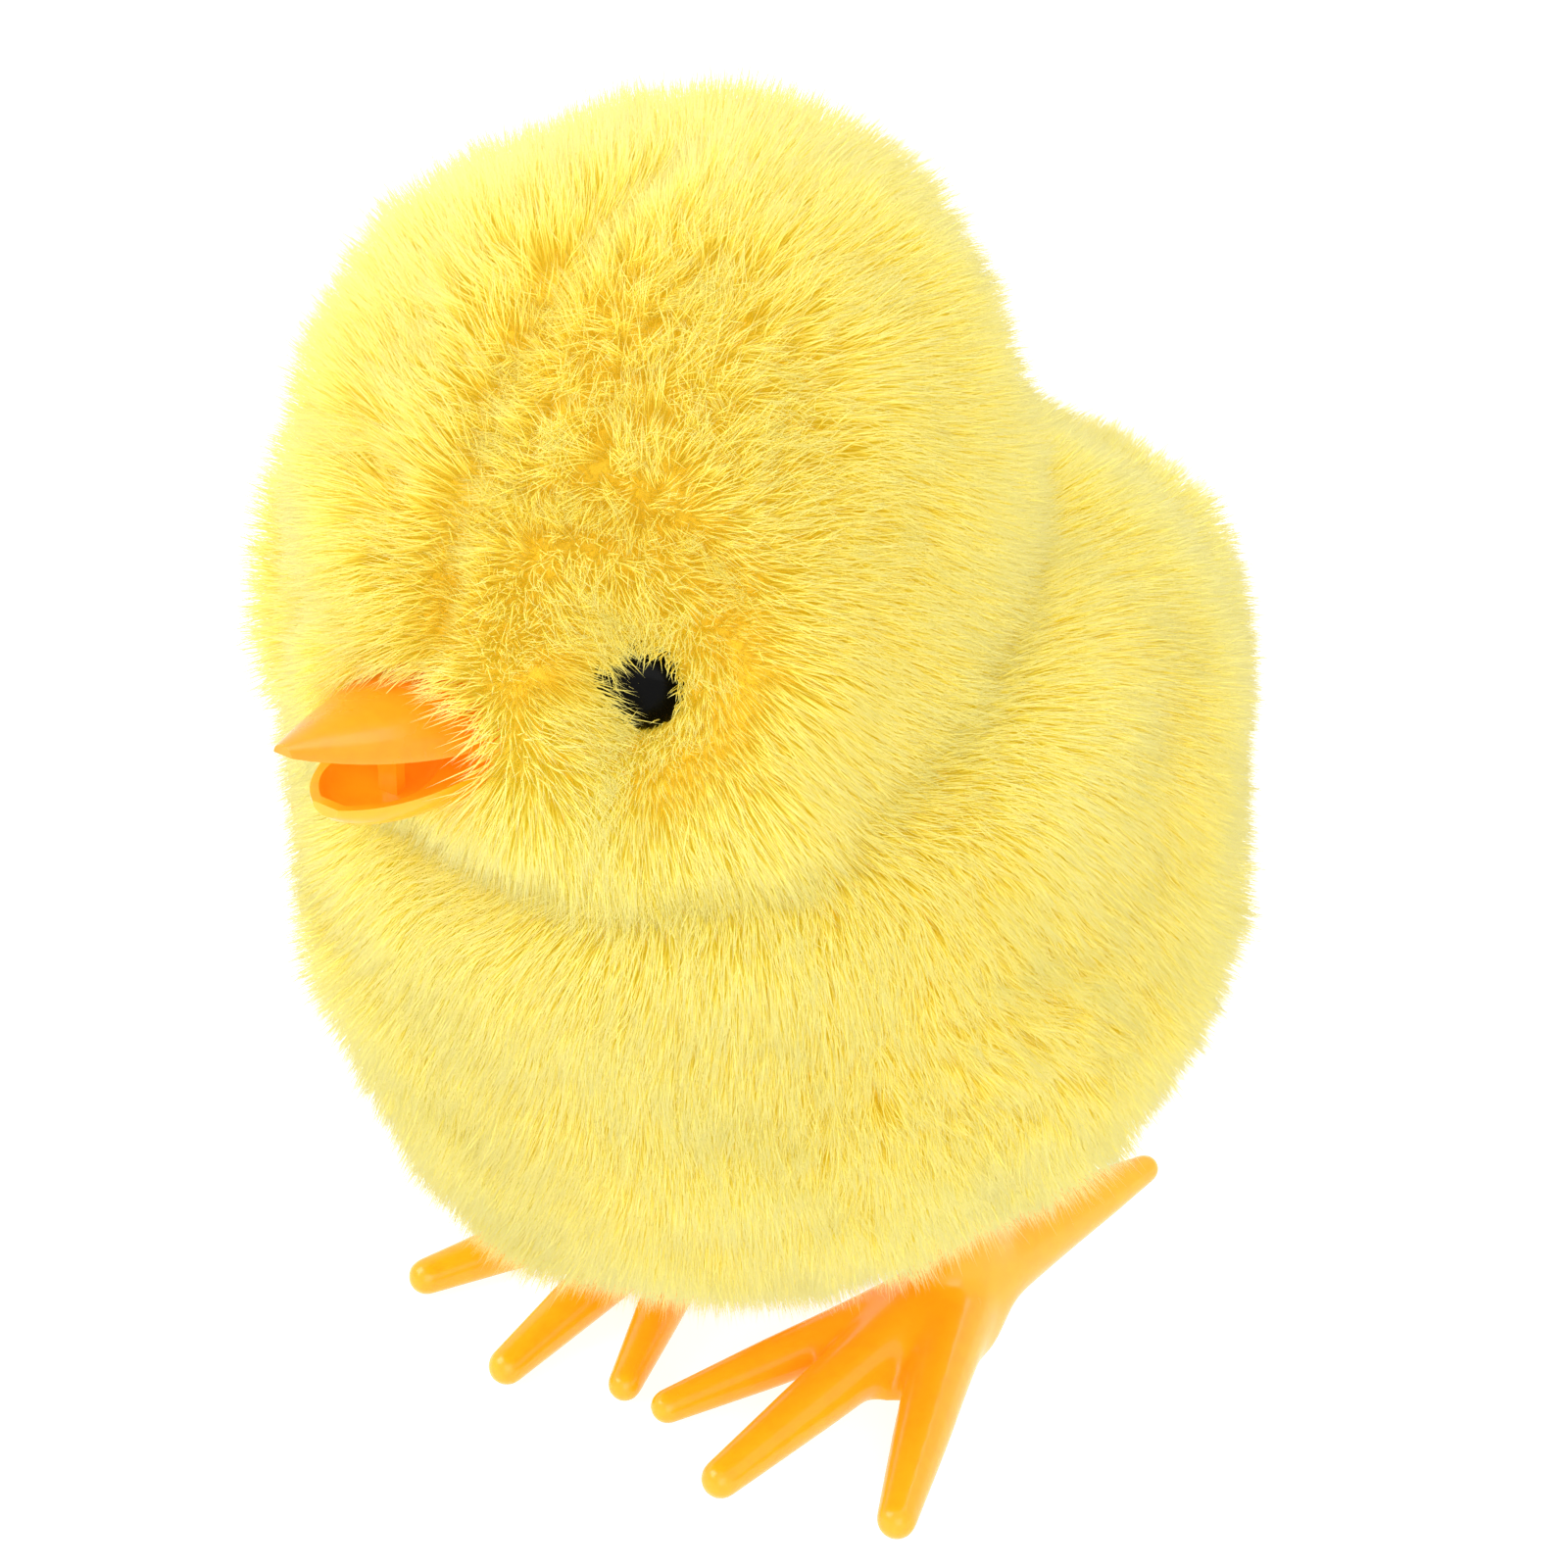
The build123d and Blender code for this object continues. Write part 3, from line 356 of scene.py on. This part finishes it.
def make_skin():
    """The two eggs run together into one backing."""
    whole = bmesh.new()
    for mid, semi, tilt in ((HEAD_MID, HEAD_SEMI, HEAD_TILT), (BODY_MID, BODY_SEMI, BODY_TILT)):
        part = egg(mid, semi, tilt, PILE)
        mesh = bpy.data.meshes.new("part")
        part.to_mesh(mesh)
        part.free()
        whole.from_mesh(mesh)
        bpy.data.meshes.remove(mesh)
    mesh = bpy.data.meshes.new("plush_backing")
    whole.to_mesh(mesh)
    whole.free()
    set_coords(mesh, coords(mesh) * MM)
    ob = mesh_object("plush_backing", mesh)
    r = ob.modifiers.new("remesh", "REMESH")
    r.mode = "VOXEL"
    r.voxel_size = VOXEL * MM
    s = ob.modifiers.new("smooth", "SMOOTH")
    s.factor = 0.5
    s.iterations = 8
    applied(ob)
    return ob


def nearest_on(p, path):
    """The point of a path that is nearest to each point, and how far off it is."""
    best, gap = np.zeros_like(p), np.full(len(p), np.inf)
    for a, b in zip(path[:-1], path[1:]):
        t = np.clip((p - a) @ (b - a) / ((b - a) @ (b - a)), 0, 1)
        q = a + t[:, None] * (b - a)
        d = np.linalg.norm(p - q, axis=1)
        best[d < gap] = q[d < gap]
        gap = np.minimum(gap, d)
    return best, gap


def creases(p):
    """How deep in a crease of the face each point is, 0 to 1, and the way the pile parts from it."""
    depth, parting = np.zeros(len(p)), np.zeros_like(p)
    for path, strength, width, both in CREASES:
        for side in (1, -1) if both else (1,):
            best, gap = nearest_on(p, np.array(path) * (side, 1, 1))
            depth = np.maximum(depth, strength * np.exp(-(gap / width) ** 2))
            parting += unit(p - best) * (strength * np.exp(-(gap / (2.3 * width)) ** 2))[:, None]
    return depth, parting


def outside(p, mid, semi, tilt):
    """About how far a point is outside one of the two eggs, in mm."""
    t = math.radians(-tilt)
    q = p - mid
    y = q[:, 1] * math.cos(t) - q[:, 2] * math.sin(t)
    z = q[:, 1] * math.sin(t) + q[:, 2] * math.cos(t)
    size = np.asarray(semi) - PILE
    r = np.sqrt((q[:, 0] / size[0]) ** 2 + (y / size[1]) ** 2 + (z / size[2]) ** 2)
    return (r - 1) * size.mean()


def neck_depth(p):
    """1 along the ring where the head meets the body, 0 a few mm away."""
    gap = np.maximum(outside(p, HEAD_MID, HEAD_SEMI, HEAD_TILT), outside(p, BODY_MID, BODY_SEMI, BODY_TILT))
    shallow_at_sides = 1 - 0.7 * smooth_step(10, 18, np.abs(p[:, 0]))
    return np.exp(-(np.maximum(gap, 0) / 3.0) ** 2) * shallow_at_sides


# centre (mirrored when it is on the left side), radius and height of each swell of the stuffing
SWELLS = [
    ((17.8, -29.5, 59.5), 8.0, 4.6),
    ((8.0, -31.5, 52.5), 8.0, 2.6),
    ((6.0, -3.0, 85.5), 10.0, 2.6),
    ((-6.0, -13.0, 86.5), 8.0, -1.4),
    ((-11.0, -27.0, 77.0), 7.0, 0.5),
    ((12.0, 1.5, 78.0), 8.5, -2.4),
    ((10.0, 14.0, 65.0), 7.0, -2.2),
    ((14.0, 18.0, 60.0), 6.0, 0.9),
    ((17.0, 19.0, 55.5), 8.0, 2.4),
    ((22.0, -12.0, 58.0), 7.0, 2.6),
    ((20.0, -20.5, 52.5), 7.0, 2.0),
    ((24.5, 12.0, 46.0), 8.0, -1.0),
    ((26.8, 5.5, 41.0), 7.0, -0.8),
    ((25.0, -1.0, 29.0), 8.0, 0.9),
    ((-19.0, -24.0, 44.0), 8.0, -0.8),
    ((12.5, -30.0, 36.0), 10.0, 0.5),
    ((13.0, -24.0, 27.0), 9.0, 0.4),
    ((4.0, -22.0, 22.0), 8.0, 1.6),
    ((10.7, -31.8, 64.4), 4.4, -3.0),
    ((5.8, -35.0, 63.4), 4.2, 2.6),
    ((4.4, -36.0, 57.4), 4.2, 2.0),
    ((6.0, -34.0, 70.0), 3.2, 1.3),
    ((-2.5, -34.0, 71.0), 3.5, 1.0),
    ((0.0, -35.5, 67.0), 3.0, 1.3),
]


def shape_skin(co, nr):
    """The skin with its swells, its creases, its neck and the opening for the legs."""
    rise = 0.5 * waves(co, 26, 3)[:, 0] + 0.25 * waves(co, 11, 4)[:, 0]
    for centre, radius, height in SWELLS:
        for side in (1, -1) if centre[0] > 0 else (1,):
            rise += height * bump_at(co, np.array(centre) * (side, 1, 1), radius)
    rise -= CREASE_PULL * creases(co)[0] + NECK_PULL * neck_depth(co)
    co = co + nr * np.maximum(rise, -DEEPEST)[:, None]
    # the opening under the belly, with the base plate in it and a slot for each leg
    low = co[:, 2] < BASE_FACE
    g = np.abs(co - LEG_MOUTH_MID)[:, :2]
    co[low & (g < LEG_MOUTH_HALF - 0.4).all(1), 2] = BASE_FACE
    q = np.abs(np.stack([np.abs(co[:, 0]), co[:, 1]], 1) - SLOT_MID)
    co[(co[:, 2] < BASE_FACE + 0.1) & (q < SLOT_HALF).all(1), 2] = SLOT_TOP
    return co


skin = make_skin()
normals = np.empty(len(skin.data.vertices) * 3, np.float32)
skin.data.vertices.foreach_get("normal", normals)
set_coords(skin.data, shape_skin(coords(skin.data), normals.reshape(-1, 3).astype(float)))
skin.data.materials.append(BACKING)
for poly in skin.data.polygons:
    poly.use_smooth = True
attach(skin, "body")
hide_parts("plush_cover")


# ---------------------------------------------------------------- the pile
def sample_skin(mesh, count, rng):
    """Random places on the skin, evenly over its area, and the skin's normals there."""
    mesh.calc_loop_triangles()
    n = len(mesh.loop_triangles)
    tri = np.empty(n * 3, np.int32)
    mesh.loop_triangles.foreach_get("vertices", tri)
    tri = tri.reshape(-1, 3)
    co = coords(mesh)
    vn = np.empty(len(mesh.vertices) * 3, np.float32)
    mesh.vertices.foreach_get("normal", vn)
    vn = vn.reshape(-1, 3).astype(float)
    a, b, c = co[tri[:, 0]], co[tri[:, 1]], co[tri[:, 2]]
    area = np.linalg.norm(np.cross(b - a, c - a), axis=1)
    pick = rng.choice(n, count, p=area / area.sum())
    u, v = rng.random(count), rng.random(count)
    flip = u + v > 1
    u[flip], v[flip] = 1 - u[flip], 1 - v[flip]
    w = np.stack([1 - u - v, u, v], 1)[:, :, None]
    t = tri[pick]
    return (co[t] * w).sum(1), unit((vn[t] * w).sum(1))


def bare(p):
    """Where no pile grows: the eyes, the beak, the leg mouth and the key mouth."""
    out = np.zeros(len(p), bool)
    for side in (1, -1):
        out |= np.linalg.norm((p - EYE_LEFT * (side, 1, 1)) * (1, 0.7, 1), axis=1) < EYE_BARE
    q = p - BEAK_BASE
    half_width, half_height = BEAK_BARE
    out |= (np.hypot(q[:, 0] / half_width, (q[:, 2] + 0.3) / half_height) < 1) & (p[:, 1] < -26)
    g = p - LEG_MOUTH_MID
    out |= (np.abs(g[:, 0]) < LEG_MOUTH_HALF[0]) & (np.abs(g[:, 1]) < LEG_MOUTH_HALF[1]) & (p[:, 2] < 22)
    k = p - KEY_MOUTH
    out |= (np.hypot(k[:, 1], k[:, 2]) < KEY_BARE) & (p[:, 0] < 0)
    return out


def mouth_edge(p):
    """1 at the edge of the opening that the legs come through, 0 a few mm away."""
    g = np.abs(p - LEG_MOUTH_MID)[:, :2] - LEG_MOUTH_HALF
    gap = np.linalg.norm(np.maximum(g, 0), axis=1)
    return np.exp(-(gap / 3.5) ** 2) * smooth_step(26, 18, p[:, 2])


def comb(p, n, parting):
    """The way the pile is brushed, along the skin."""
    head = smooth_step(46, 58, p[:, 2]) * smooth_step(12, 2, p[:, 1])
    from_beak = unit(p - BEAK_BASE)
    down = np.tile([0.0, 0.10, -1.0], (len(p), 1))
    down[:, 1] += 0.7 * smooth_step(-12, 8, p[:, 1]) * smooth_step(20, 30, p[:, 2])
    way = from_beak * (0.75 * head)[:, None] + down * (0.9 - 0.35 * head)[:, None]
    for side in (1, -1):
        eye = EYE_LEFT * (side, 1, 1)
        near = bump_at(p, eye, 5.2)[:, None]
        past = smooth_step(-1.5, 1.5, (p[:, 0] - eye[0]) * side)[:, None]
        way = way * (1 - near) + (unit(p - eye) * (0.15 + 0.65 * past) + from_beak * 0.25) * near
    beak = np.linalg.norm((p - BEAK_BASE) / (1.25, 1, 1), axis=1)
    near = np.exp(-np.maximum(beak - 4.2, 0) ** 2 / 5)[:, None]
    way = way * (1 - near) + unit(p - BEAK_BASE) * near * 0.15
    way += (0.24 + 0.12 * (1 - head))[:, None] * waves(p, 17, 11, 3) + 0.17 * waves(p, 6, 12, 3)
    way += 1.1 * parting
    way -= n * (way * n).sum(1, keepdims=True)
    return way


def rubbed_and_shaded_patch(p):
    """Where the pile is rubbed up: over the forehead and on the left side. The strands there are also
    tinted a deeper gold, which is partly painted shade.
    """
    a = bump_at(p, np.array([6.0, -29.0, 81.0]), 10.0)
    b = bump_at(p, np.array([27.0, -18.0, 38.0]), 11.0)
    return np.clip(a + b, 0, 1)


STEPS = np.array([0.0, 0.55, 1.0])    # the rings of a strand, as shares of its length


def grow(p, n, rng):
    """Points along each strand, its half width and its tone."""
    count = len(p)
    clump_at = p[: max(count // 18, 1)]
    tree = kdtree.KDTree(len(clump_at))
    for i, c in enumerate(clump_at):
        tree.insert(c, i)
    tree.balance()
    mine = np.array([tree.find(c)[1] for c in p])
    rough = rubbed_and_shaded_patch(p)
    clump_dir = rng.normal(size=(len(clump_at), 3))[mine]
    clump_tone = rng.normal(size=len(clump_at))[mine]
    crease, parting = creases(p)
    way = comb(p, n, parting)
    lean = 0.60 + 0.16 * waves(p, 14, 21)[:, 0]
    way = unit(way) * np.minimum(np.linalg.norm(way, axis=1), 1.1)[:, None] * lean[:, None]
    stray = rng.normal(size=(count, 3))
    start = unit(n + way * 0.6 + clump_dir * (0.03 + 0.18 * rough)[:, None] + stray * 0.07)
    end = unit(n * 0.66 + way * 1.1 + clump_dir * (0.05 + 0.32 * rough)[:, None] + stray * 0.14)
    length = PILE * 1.12 * (1 + 0.09 * rng.normal(size=count)) * (1 - 0.14 * rough)
    length *= 1 + 0.07 * waves(p, 9, 22)[:, 0]
    for side in (1, -1):
        past = smooth_step(-1.5, 1.5, (p[:, 0] - EYE_LEFT[0] * side) * side)
        length *= 1 - (0.28 + 0.22 * past) * bump_at(p, EYE_LEFT * (side, 1, 1), 4.2)
    length *= 1 - 0.5 * mouth_edge(p)
    length *= np.clip(1 - 0.68 * crease - 0.20 * neck_depth(p), 0.3, 1)
    line = [p - n * 0.3]
    for a, b in zip(STEPS[:-1], STEPS[1:]):
        m = (a + b) / 2
        line.append(line[-1] + (start * (1 - m) + end * m) * (length * (b - a))[:, None])
    line = np.stack(line, 1)
    middle = clump_at[mine] + (line[:, -1] - p)
    pull = (0.07 + 0.30 * rough)[:, None, None] * (STEPS ** 2)[None, :, None]
    line += pull * (middle - line[:, -1])[:, None, :]
    width = STRAND_WIDTH / 2 * (1 + 0.15 * rng.normal(size=count))
    tone = 0.20 + 0.07 * clump_tone + 0.10 * rng.normal(size=count) + 0.20 * waves(p, 20, 31)[:, 0]
    # strands are painted a deeper gold in the neck fold and the creases, painted shade, and on the rubbed
    # patches, partly painted shade
    tone += 0.35 * rough + 0.5 * neck_depth(p) + 0.8 * crease
    # a deeper gold spread over the brow and its creases, painted shade
    tone += 0.22 * bump_at(p, np.array([4.0, -30.0, 72.0]), 16.0)
    return line, width, np.clip(tone, 0.01, 0.99)


def strand_mesh(name, line, width, tone, rng):
    """Thin three-sided strands that taper to a point, as one mesh."""
    count, rings = line.shape[0], line.shape[1]
    flow = unit(line[:, -1] - line[:, 0])
    side = unit(np.cross(flow, unit(rng.normal(size=(count, 3)))))
    other = np.cross(flow, side)
    taper = np.array([1.0, 0.85])
    verts = np.empty((count, 3 * (rings - 1) + 1, 3))
    for r in range(rings - 1):
        for k in range(3):
            a = 2 * np.pi * k / 3
            off = side * math.cos(a) + other * math.sin(a)
            verts[:, 3 * r + k] = line[:, r] + off * (width * taper[r])[:, None]
    verts[:, -1] = line[:, -1]
    per = verts.shape[1]
    quads, tris = [], [[2, 1, 0]]
    for r in range(rings - 2):
        for k in range(3):
            j = (k + 1) % 3
            quads.append([3 * r + k, 3 * r + j, 3 * r + 3 + j, 3 * r + 3 + k])
    last = 3 * (rings - 2)
    for k in range(3):
        tris.append([last + k, last + (k + 1) % 3, per - 1])
    quads, tris = np.array(quads), np.array(tris)
    loops_one = np.concatenate([quads.ravel(), tris.ravel()])
    base = (np.arange(count) * per)[:, None]
    loop_vertex = (base + loops_one[None, :]).ravel().astype(np.int32)
    sizes = np.concatenate([np.full(len(quads), 4), np.full(len(tris), 3)])
    total = np.tile(sizes, count).astype(np.int32)
    start = np.concatenate([[0], np.cumsum(total)[:-1]]).astype(np.int32)
    mesh = bpy.data.meshes.new(name)
    mesh.vertices.add(count * per)
    mesh.vertices.foreach_set("co", (verts.reshape(-1) * MM).astype(np.float32))
    mesh.loops.add(len(loop_vertex))
    mesh.loops.foreach_set("vertex_index", loop_vertex)
    mesh.polygons.add(len(total))
    mesh.polygons.foreach_set("loop_start", start)
    mesh.polygons.foreach_set("use_smooth", np.ones(len(total), bool))
    mesh.update(calc_edges=True)
    along = np.concatenate([np.repeat([0.02, 0.52], 3), [0.98]])
    uv = np.empty((count, len(loops_one), 2), np.float32)
    uv[:, :, 0] = tone[:, None]
    uv[:, :, 1] = along[loops_one][None, :]
    layer = mesh.uv_layers.new(name="OFBake")
    layer.data.foreach_set("uv", uv.ravel())
    mesh.materials.append(PILE_MAT)
    return mesh


def equal_shares(values, count):
    """Which of so many equal shares each value falls in, from the lowest up."""
    cuts = np.quantile(values, np.linspace(0, 1, count + 1)[1:-1])
    return np.searchsorted(cuts, values)


rng = np.random.default_rng(SEED)
roots, root_normals = sample_skin(skin.data, STRANDS, rng)
keep = ~bare(roots)
roots, root_normals = roots[keep], root_normals[keep]
line, width, tone = grow(roots, root_normals, rng)
band = equal_shares(roots[:, 2], len(BANDS))
for level, band_name in enumerate(BANDS):
    at = np.nonzero(band == level)[0]
    turn = np.arctan2(roots[at, 0], roots[at, 1])
    sector = equal_shares(turn, SECTORS)
    for n in range(SECTORS):
        pick = at[sector == n]
        label = f"pile_{band_name}_{n + 1}"
        ob = mesh_object(label, strand_mesh(label, line[pick], width[pick], tone[pick], rng))
        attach(ob, "body")


# ---------------------------------------------------------------- the feet, smoothed where toes meet
def smooth_leg(node, name, side):
    """The foot with its creases between the toes run together, and its toes left as they are."""
    ob = mesh_object(name, nodes[node].data.copy())
    r = ob.modifiers.new("remesh", "REMESH")
    r.mode = "VOXEL"
    r.voxel_size = FOOT_VOXEL * MM
    applied(ob)
    mesh = ob.data
    co = coords(mesh)
    edges = np.empty(len(mesh.edges) * 2, np.int32)
    mesh.edges.foreach_get("vertices", edges)
    a, b = edges.reshape(-1, 2).T
    degree = np.bincount(a, minlength=len(co)) + np.bincount(b, minlength=len(co))
    middle = np.array([side * 11.4, 4.0])
    reach = np.linalg.norm(co[:, :2] - middle, axis=1)
    share = 0.62 * smooth_step(17, 8, reach)
    for step in range(46):
        total = np.zeros_like(co)
        np.add.at(total, a, co[b])
        np.add.at(total, b, co[a])
        weight = (np.maximum(share, 0.25 if step < 3 else 0.0) * smooth_step(16, 12, co[:, 2]))[:, None]
        co += weight * (total / degree[:, None] - co)
    co[:, 2] = np.maximum(co[:, 2], 0.0)
    set_coords(mesh, co)
    for poly in mesh.polygons:
        poly.use_smooth = True
    mesh.materials.clear()
    mesh.materials.append(ORANGE)
    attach(ob, "legs")
    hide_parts(node)


smooth_leg("left_leg", "left_foot_moulding", 1)
smooth_leg("right_leg", "right_foot_moulding", -1)

# ---------------------------------------------------------------- the stage
TARGET = Vector((0.0, -3.0, 43.3)) * MM
AZIMUTH, ELEVATION, ROLL = 37.0, 27.5, 0.8      # degrees
DISTANCE = 200.0                 # mm
LENS, SENSOR = 68.3, 36          # mm
az, el = math.radians(AZIMUTH), math.radians(ELEVATION)
right = Vector((math.cos(az), math.sin(az), 0))
back = Vector((math.sin(az) * math.cos(el), -math.cos(az) * math.cos(el), math.sin(el)))
up = back.cross(right)
roll = math.radians(ROLL)
cam_x = right * math.cos(roll) + up * math.sin(roll)
cam_y = back.cross(cam_x)
cam = bpy.data.objects.new("camera", bpy.data.cameras.new("camera"))
scene.collection.objects.link(cam)
place = Matrix((cam_x, cam_y, back)).transposed().to_4x4()
place.translation = TARGET + back * DISTANCE * MM
cam.matrix_world = place
cam.data.lens = LENS
cam.data.sensor_width = SENSOR
cam.data.clip_start = 0.01
scene.camera = cam


def sweep_floor():
    """A pale sheet that runs out flat behind and around the object."""
    bm = bmesh.new()
    bmesh.ops.create_grid(bm, x_segments=24, y_segments=24, size=2.5)
    mesh = bpy.data.meshes.new("floor")
    bm.to_mesh(mesh)
    bm.free()
    m, nt, p = material("pale_paper")
    fine = noise_node(nt, 500, 4)
    grey = ramp(nt, fine, [(0.3, (0.38, 0.38, 0.38)), (0.7, (0.40, 0.40, 0.40))])
    nt.links.new(grey, p.inputs["Base Color"])
    p.inputs["Roughness"].default_value = 0.8
    p.inputs["Emission Color"].default_value = (1, 1, 1, 1)
    p.inputs["Emission Strength"].default_value = 0.85
    mesh.materials.append(m)
    return mesh_object("floor", mesh)


floor = sweep_floor()

world = bpy.data.worlds.new("studio")
world.use_nodes = True
world.node_tree.nodes["Background"].inputs[0].default_value = (1, 1, 1, 1)
world.node_tree.nodes["Background"].inputs[1].default_value = 1.0
scene.world = world


def softbox(name, at, size, power):
    """A square light that faces the object."""
    light = bpy.data.lights.new(name, "AREA")
    light.shape = "SQUARE"
    light.size = size
    light.energy = power
    ob = bpy.data.objects.new(name, light)
    scene.collection.objects.link(ob)
    ob.location = at
    ob.rotation_euler = (TARGET - Vector(at)).to_track_quat("-Z", "Y").to_euler()


softbox("key_light", (-0.30, -0.34, 0.50), 0.40, 2.2)
softbox("fill_light", (0.45, -0.42, 0.25), 0.45, 1.2)
softbox("top_light", (0.05, 0.30, 0.55), 0.40, 1.2)
scene.cycles.diffuse_bounces = 6
scene.view_settings.view_transform = "Standard"
scene.view_settings.look = "None"
